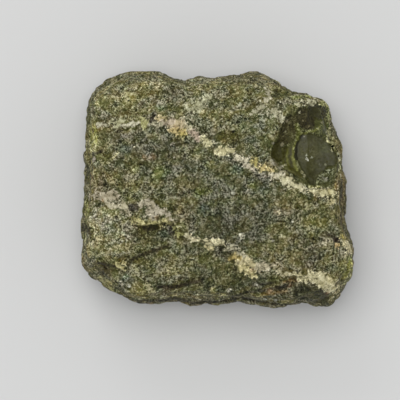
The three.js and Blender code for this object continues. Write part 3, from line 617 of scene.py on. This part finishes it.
def paint(boulder, above):
    mesh = boulder.data
    places, normals = meshArrays(mesh)
    x, y, z = places.T
    rise = normals[:, 2]
    warpX = wander(x, places, (1, 6))
    warpY = wander(y, places, (9, 12))

    # the hidden sides drift between two tones, with streaks along the beds
    base = linear(*ground["base"])
    drift = noiseAt(places * (1, 1, 2.2), ground["driftSize"], 3)[:, None]
    tint = base * (1 + ground["drift"] * drift)
    tint += (linear(*ground["brownBase"]) - base) * smooth(drift, 0.05, 0.5)
    level = bedLevel(x, y, z)
    streaks = np.zeros(len(places))
    for n, (length, thickness, strength) in enumerate(ground["streaks"]):
        along = np.column_stack((x / length, y / length, level / thickness))
        streaks += strength * noiseAt(along, 1, 5 * n)
    wallness = 1 - smooth(rise, *ground["topSlope"])
    tint *= (1 - ground["wallShade"] * wallness + ground["streakDepth"] * wallness * streaks)[:, None]
    brown = (wallness * smooth(streaks, -0.1, 0.4) * ground["brownShare"])[:, None]
    tint += brown * (linear(*ground["brownBeds"]) - tint)
    for cx, cy, halfLength, halfWidth, colour, strength in tints:
        amount = strength * above * ellipseMask(warpX, warpY, cx, cy, halfLength, halfWidth)
        tint += amount[:, None] * (linear(*colour) - tint)
    # the sloped shoulders higher up are painted paler, with paler spots
    paleShoulders = smooth(rise, 0.1, 0.45) * (1 - smooth(rise, 0.6, 0.85)) * smooth(z, 16, 24)
    overall, spots = ground["shoulderPaleness"]
    tint *= (1 + paleShoulders * (overall + spots * noiseAt(places, ground["shoulderSpots"], 23)))[:, None]

    fresh = freshMask(places)
    tint += fresh[:, None] * (linear(*look["freshColour"]) - tint)
    wobble = faceWobble(places)
    polish = np.zeros(len(places))
    for colour, sink, smoothness, outline in faces:
        amount = above * smooth(insideDistance(x + wobble, y - wobble, outline), -0.2, 0.25)
        tint += amount[:, None] * (linear(*colour) - tint)
        polish += amount * (smoothness - polish)
    for cx, cy, halfLength, halfWidth, colour, strength in freshTints:
        amount = strength * above * ellipseMask(x, y, cx, cy, halfLength, halfWidth)
        tint += amount[:, None] * (linear(*colour) - tint)
    for halfWidth, colour, path in strokes:
        distance, _ = pathDistance(x + wobble, y - wobble, path)
        amount = above * smooth(halfWidth - distance, -0.25, 0.15)
        tint += amount[:, None] * (linear(*colour) - tint)

    tint *= 1 - wallness[:, None] * ground["wallCast"]

    # the nearest vein, crumb or painted glint highlight gives each place its strength and colour
    veinColour = np.tile(linear(*ground["veinColour"]), (len(places), 1))
    vein = np.zeros(len(places))
    fringe = ground["veinFringe"]
    for colour, path in veins:
        distance, place = pathDistance(warpX, warpY, [point[:2] for point in path])
        width = np.interp(place, range(len(path)), [point[2] for point in path])
        amount = above * smooth(width + ground["veinSpread"] - distance, -fringe, fringe)
        stronger = amount > vein
        vein[stronger] = amount[stronger]
        veinColour[stronger] = linear(*colour)
    # crumb marks, among them painted glint highlights
    for cx, cy, radius, colour in crumbsAndGlints:
        distance = np.hypot(x + wobble - cx, y - wobble - cy)
        amount = ground["crumbsAndGlints"] * above * smooth(radius + 0.1 - distance, -0.3, 0.3)
        stronger = amount > vein
        vein[stronger] = amount[stronger]
        veinColour[stronger] = linear(*colour)
    seams = smooth(noiseAt(places * (1, 1, 3), 9, 15), 0.3, 0.45)
    seams *= smooth(noiseAt(places, 3, 2), 0, 0.3)
    vein = np.maximum(vein, ground["sideSeams"] * seams * (1 - above))

    rust = np.zeros(len(places))
    for cx, cy, radius in rusts:
        rust = np.maximum(rust, above * ellipseMask(warpX, warpY, cx, cy, radius, radius))
    sideRust = smooth(noiseAt(places, 7, 21), 0.25, 0.5)
    rust = np.maximum(rust, ground["sideRust"] * (1 - above) * sideRust)

    # painted shade in recesses and painted light on ridges, from how far each place lies below its
    # surroundings
    hollowShading = sum(strength * hollowness(mesh, passes) for passes, strength in ground["hollows"])
    hollowShading = np.clip(hollowShading, *ground["hollowRange"])

    amounts = {"vein": vein, "rust": rust, "fresh": fresh, "hollowShading": hollowShading, "polish": polish}
    for name, values in amounts.items():
        layer = mesh.attributes.new(name, "FLOAT", "POINT")
        layer.data.foreach_set("value", values.astype(np.float32))
    for name, values in (("tint", tint), ("veinColour", veinColour)):
        layer = mesh.color_attributes.new(name, "FLOAT_COLOR", "POINT")
        opaque = np.column_stack((np.clip(values, 0, 1), np.ones(len(places))))
        layer.data.foreach_set("color", opaque.astype(np.float32).ravel())


look = {
    # noises: repeats to the millimetre, detail, roughness, distortion
    "grain": (1.6, 3.0, 0.85, 0.5),
    "threads": (0.85, 4.0, 0.75, 1.2),
    "crunch": (0.5, 3.0, 0.6, 0.8),  # some areas crisp, others dull
    "gaps": (1.3, 2.0, 0.6),  # small dark holes
    "mottle": (0.42, 3.0, 0.6, 0.6),
    "patches": (0.2, 3.0, 0.55, 0.5),
    "clouds": (0.5, 4.0, 0.55, 0.8),
    "glints": (0.9, 2.0, 0.5),
    # cells: repeats to the millimetre
    "flakes": 1.5,
    "granules": 0.85,
    # how strongly each shows; four numbers are a noise's low and high, and what they give
    "grainDepth": 1.6,
    "threadWidth": 0.075,
    "threadDepth": 0.7,
    "flakeTones": (0.72, 0.92, -0.008, 0.1),
    "crunchTones": (0.36, 0.62, 0.55, 1.45),
    "gapTones": (0.28, 0.38, 0.12, 0.0),
    "mottleDepth": 0.32,
    "patchTones": (0.35, 0.62, 0.75, 1.25),
    # painted shade in recesses and painted light on ridges
    "cavityShading": 0.24,  # how much hollows darken and ridges lighten, to the millimetre
    "contrast": 5.9,  # doublings of brightness over the grain's range, as seen on screen
    "level": 0.855,  # median brightness against the tints, which are means
    "palest": 0.85,  # the most that a grain adds, as a share of its tint
    "deepest": (0.09, 0.09, 0.04),
    "cast": (0.98, 1.0, 0.86, 1),
    "greenShift": (0.93, 1.0, 0.92, 1),
    "brownShift": (1.06, 0.98, 0.95, 1),
    "yellowShift": (1.05, 1.04, 0.8, 1),
    "greyShift": (0.94, 0.97, 1.12, 1),
    "rindRoughness": 0.62,
    "shine": 0.3,
    # the veins
    "granuleWidth": 0.42,
    "granuleBite": 0.9,  # how far granules and grains shape the veins' edges
    "grainBite": 1.6,
    "veinEdge": (0.4, 0.68),
    "veinReach": (0.02, 0.2),
    "veinFilm": (0.4, 0.95, 0.0, 0.22),  # a pale film between the granules
    "veinGrain": 0.4,
    "veinGranules": 0.12,
    "veinContrast": 0.6,
    "veinLevel": 0.98,
    # the rusty spots
    "rustColour": (158, 122, 78),
    "rustTones": (0.4, 0.62, 0.1, 0.7),
    "rustContrast": 0.6,
    "rustLevel": 0.95,
    # the fresh chip
    "freshColour": (72, 72, 40),
    "freshCast": (0.98, 1.0, 0.6, 1),
    "freshBite": 0.8,
    "freshEdge": (0.4, 0.62),
    "freshGrain": (0, 1, 1.15, 0.22),  # rough to polished
    "freshContrast": 0.7,
    "freshLevel": 0.92,
    "cloudDepth": 0.25,
    "freshRoughness": 0.42,
    "glintTones": (0.62, 0.68),
    "glintRoughness": 0.12,
    # the bump: rough to polished, strength, depth in millimetres
    "bumpHeights": (0, 1, 1.6, 0.3),
    "bumpStrength": 0.7,
    "bumpDepth": 0.5,
}


class NodeKit:
    # short calls for building one node tree
    def __init__(self, material):
        self.tree = material.node_tree
        self.tree.nodes.clear()

    def node(self, kind, **settings):
        made = self.tree.nodes.new(kind)
        for name, value in settings.items():
            setattr(made, name, value)
        return made

    def feed(self, socket, source):
        if isinstance(source, bpy.types.NodeSocket):
            self.tree.links.new(source, socket)
        else:
            socket.default_value = source

    def math(self, operation, a, b=0.0):
        made = self.node("ShaderNodeMath", operation=operation)
        self.feed(made.inputs[0], a)
        self.feed(made.inputs[1], b)
        return made.outputs[0]

    def centred(self, value, depth):
        # a noise around zero
        return self.math("MULTIPLY", self.math("SUBTRACT", value, 0.5), depth)

    def remap(self, value, low, high, toLow=0.0, toHigh=1.0):
        made = self.node("ShaderNodeMapRange", interpolation_type="SMOOTHSTEP")
        for socket, source in zip(made.inputs, (value, low, high, toLow, toHigh)):
            self.feed(socket, source)
        return made.outputs[0]

    def mix(self, amount, a, b, blend="MIX"):
        made = self.node("ShaderNodeMix", data_type="RGBA", blend_type=blend)
        self.feed(made.inputs["Factor"], amount)
        self.feed(made.inputs[6], a)
        self.feed(made.inputs[7], b)
        return made.outputs[2]

    def attribute(self, name, output="Fac"):
        return self.node("ShaderNodeAttribute", attribute_name=name).outputs[output]

    def noise(self, place, scale, detail, roughness, distortion=0.0):
        made = self.node("ShaderNodeTexNoise")
        self.feed(made.inputs["Vector"], place)
        made.inputs["Scale"].default_value = scale
        made.inputs["Detail"].default_value = detail
        made.inputs["Roughness"].default_value = roughness
        made.inputs["Distortion"].default_value = distortion
        return made.outputs["Fac"]

    def gamma(self, colour, power):
        made = self.node("ShaderNodeGamma")
        self.feed(made.inputs["Color"], colour)
        made.inputs["Gamma"].default_value = power
        return made.outputs[0]

    def grainy(self, colour, grain, contrast, level):
        # the grain adds the same amount to red, green and blue as seen on screen,
        # so that light grains are paler and dark ones deeper in colour
        screen = self.gamma(colour, 1 / 2.2)
        tone = self.node("ShaderNodeRGBToBW")
        self.feed(tone.inputs[0], screen)
        share = self.math("POWER", 2.0, self.math("MULTIPLY", grain, contrast))
        share = self.math("SUBTRACT", self.math("MULTIPLY", share, level), 1.0)
        share = self.math("MINIMUM", share, look["palest"])
        change = self.math("MULTIPLY", tone.outputs[0], share)
        added = self.node("ShaderNodeVectorMath", operation="ADD")
        self.feed(added.inputs[0], screen)
        self.feed(added.inputs[1], change)
        lowest = self.node("ShaderNodeVectorMath", operation="MAXIMUM")
        self.feed(lowest.inputs[0], added.outputs[0])
        lowest.inputs[1].default_value = look["deepest"]
        return self.gamma(lowest.outputs[0], 2.2)

    def cells(self, place, scale, output="Distance"):
        made = self.node("ShaderNodeTexVoronoi")
        self.feed(made.inputs["Vector"], place)
        made.inputs["Scale"].default_value = scale
        return made.outputs[output]


def rgba(colour):
    return (*linear(*colour), 1.0)


def jadeMaterial():
    material = bpy.data.materials.new("jadeRind")
    material.use_nodes = True
    kit = NodeKit(material)
    position = kit.node("ShaderNodeTexCoord").outputs["Object"]
    toMillimetres = kit.node("ShaderNodeVectorMath", operation="SCALE")
    kit.feed(toMillimetres.inputs[0], position)
    toMillimetres.inputs["Scale"].default_value = 1 / mm
    place = toMillimetres.outputs[0]

    # a grain field around zero: lumps of grain with pale threads and crisp flakes in them
    grain = kit.centred(kit.noise(place, *look["grain"]), look["grainDepth"])
    threads = kit.math("ABSOLUTE", kit.math("SUBTRACT", kit.noise(place, *look["threads"]), 0.5))
    threads = kit.math("SUBTRACT", look["threadWidth"], threads)
    grain = kit.math("ADD", grain, kit.math("MULTIPLY", threads, look["threadDepth"]))
    flakes = kit.remap(kit.cells(place, look["flakes"], "Color"), *look["flakeTones"])
    grain = kit.math("ADD", grain, flakes)
    crunch = kit.remap(kit.noise(place, *look["crunch"]), *look["crunchTones"])
    grain = kit.math("MULTIPLY", grain, crunch)
    gaps = kit.remap(kit.noise(place, *look["gaps"]), *look["gapTones"])
    grain = kit.math("SUBTRACT", grain, gaps)
    mottle = kit.noise(place, *look["mottle"])
    grain = kit.math("ADD", grain, kit.centred(mottle, look["mottleDepth"]))
    patches = kit.noise(place, *look["patches"])
    grain = kit.math("MULTIPLY", grain, kit.remap(patches, *look["patchTones"]))
    # painted shade in recesses and painted light on ridges
    cavityShading = kit.math("MULTIPLY", kit.attribute("hollowShading"), look["cavityShading"])
    grain = kit.math("SUBTRACT", grain, cavityShading)

    # the tint, darker and lighter with the grain and drifting between green and brown
    painted = kit.attribute("tint", "Color")
    tint = kit.mix(kit.remap(mottle, 0.38, 0.62), look["greenShift"], look["brownShift"])
    hue = kit.mix(kit.remap(patches, 0.4, 0.6), look["yellowShift"], look["greyShift"])
    tint = kit.mix(1.0, tint, hue, "MULTIPLY")
    tint = kit.mix(1.0, tint, look["cast"], "MULTIPLY")
    tint = kit.mix(1.0, painted, tint, "MULTIPLY")
    colour = kit.grainy(tint, grain, look["contrast"], look["level"])

    # cream veins of clustered granules, with dark rock showing between them
    vein = kit.attribute("vein")
    granules = kit.math("SUBTRACT", look["granuleWidth"], kit.cells(place, look["granules"]))
    edge = kit.math("ADD", vein, kit.math("MULTIPLY", granules, look["granuleBite"]))
    edge = kit.math("ADD", edge, kit.math("MULTIPLY", grain, look["grainBite"]))
    reach = kit.remap(vein, *look["veinReach"])
    veinAmount = kit.math("MULTIPLY", kit.remap(edge, *look["veinEdge"]), reach)
    veinAmount = kit.math("MAXIMUM", veinAmount, kit.remap(vein, *look["veinFilm"]))
    veinGrain = kit.math("MULTIPLY", grain, look["veinGrain"])
    veinGrain = kit.math("ADD", veinGrain, kit.math("MULTIPLY", granules, look["veinGranules"]))
    veinContrast = look["veinContrast"] * look["contrast"]
    veinTone = kit.attribute("veinColour", "Color")
    veinTone = kit.grainy(veinTone, veinGrain, veinContrast, look["veinLevel"])
    colour = kit.mix(veinAmount, colour, veinTone)

    rustAmount = kit.math("MULTIPLY", kit.attribute("rust"), kit.remap(mottle, *look["rustTones"]))
    rustContrast = look["rustContrast"] * look["contrast"]
    rustTone = kit.grainy(rgba(look["rustColour"]), grain, rustContrast, look["rustLevel"])
    colour = kit.mix(rustAmount, colour, rustTone)

    # waxy fresh jade in the chip keeps its tint, with soft clouds and a few flecks
    chip = kit.math("ADD", kit.attribute("fresh"), kit.math("MULTIPLY", grain, look["freshBite"]))
    fresh = kit.remap(chip, *look["freshEdge"])
    fresh = kit.math("MULTIPLY", fresh, kit.math("SUBTRACT", 1.0, veinAmount))
    polish = kit.attribute("polish")
    coarse = kit.math("MULTIPLY", grain, kit.remap(polish, *look["freshGrain"]))
    clouds = kit.centred(kit.noise(place, *look["clouds"]), look["cloudDepth"])
    clouds = kit.math("ADD", clouds, coarse)
    freshTint = kit.mix(1.0, painted, look["freshCast"], "MULTIPLY")
    freshContrast = look["freshContrast"] * look["contrast"]
    freshTone = kit.grainy(freshTint, clouds, freshContrast, look["freshLevel"])
    colour = kit.mix(fresh, colour, freshTone)

    shader = kit.node("ShaderNodeBsdfPrincipled")
    kit.feed(shader.inputs["Base Color"], colour)
    glints = kit.remap(kit.noise(place, *look["glints"]), *look["glintTones"])
    glints = kit.math("MULTIPLY", fresh, glints)
    roughness = kit.remap(polish, 0, 1, look["rindRoughness"], look["freshRoughness"])
    kit.feed(shader.inputs["Roughness"], kit.remap(glints, 0, 1, roughness, look["glintRoughness"]))
    shader.inputs["Specular IOR Level"].default_value = look["shine"]

    bump = kit.node("ShaderNodeBump")
    bump.inputs["Strength"].default_value = look["bumpStrength"]
    bump.inputs["Distance"].default_value = look["bumpDepth"] * mm
    height = kit.math("MULTIPLY", grain, kit.remap(polish, *look["bumpHeights"]))
    kit.feed(bump.inputs["Height"], height)
    kit.feed(shader.inputs["Normal"], bump.outputs[0])
    output = kit.node("ShaderNodeOutputMaterial")
    kit.feed(output.inputs["Surface"], shader.outputs[0])
    return material


studio = {
    "floorColour": (207, 207, 206),
    "floorRoughness": 0.9,
    "floorShine": 0.2,
    "floorSize": 6.0,
    "lamps": [  # name, place, size, power
        ("key", (-0.3, 0.5, 3.0), 1.9, 43.0),
        ("overhead", (0.12, 0.07, 3.0), 1.0, 5.0),
        ("side", (-0.6, 1.8, 1.8), 1.0, 5.0),
    ],
    "skyColour": (0.98, 0.99, 1.0),
    "skyStrength": 0.59,
    "viewCentre": (-5.0, -2.92),
    "viewHeight": 2577.0,
    "lens": 800.0,
    "sensorWidth": 36,
}


def floorMaterial():
    material = bpy.data.materials.new("paleFloor")
    material.use_nodes = True
    shader = material.node_tree.nodes["Principled BSDF"]
    shader.inputs["Base Color"].default_value = rgba(studio["floorColour"])
    shader.inputs["Roughness"].default_value = studio["floorRoughness"]
    shader.inputs["Specular IOR Level"].default_value = studio["floorShine"]
    return material


def buildStudio():
    bpy.ops.mesh.primitive_plane_add(size=studio["floorSize"], location=(0, 0, 0))
    floor = bpy.context.object
    floor.name = "floor"
    floor.data.materials.append(floorMaterial())

    for name, place, size, power in studio["lamps"]:
        light = bpy.data.lights.new(name, "AREA")
        light.shape = "DISK"
        light.size = size
        light.energy = power
        lamp = bpy.data.objects.new(name, light)
        lamp.location = place
        lamp.rotation_euler = (-Vector(place)).to_track_quat("-Z", "Y").to_euler()
        bpy.context.scene.collection.objects.link(lamp)

    world = bpy.data.worlds.new("softSky")
    world.use_nodes = True
    background = world.node_tree.nodes["Background"]
    background.inputs["Color"].default_value = (*studio["skyColour"], 1)
    background.inputs["Strength"].default_value = studio["skyStrength"]
    bpy.context.scene.world = world

    camera = bpy.data.objects.new("camera", bpy.data.cameras.new("camera"))
    camera.data.lens = studio["lens"]
    camera.data.sensor_width = studio["sensorWidth"]
    camera.data.clip_start = 0.01
    x, y = studio["viewCentre"]
    camera.location = (x * mm, y * mm, studio["viewHeight"] * mm)
    bpy.context.scene.collection.objects.link(camera)
    bpy.context.scene.camera = camera
    bpy.context.scene.view_settings.view_transform = "Standard"


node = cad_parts["boulder"]
boulder = fineCopy(node)
refineChip(boulder.data)
triangles = sum(len(face.vertices) - 2 for face in boulder.data.polygons)
print("remeshed", triangles, "triangles", flush=True)
above = roughen(boulder)
wearTips(boulder.data)
print("roughened", flush=True)
paint(boulder, above)
boulder.data.shade_smooth()
boulder.data.materials.clear()
boulder.data.materials.append(jadeMaterial())
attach(boulder, "root")
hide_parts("boulder")
print("painted", flush=True)
buildStudio()
print("studio ready", flush=True)
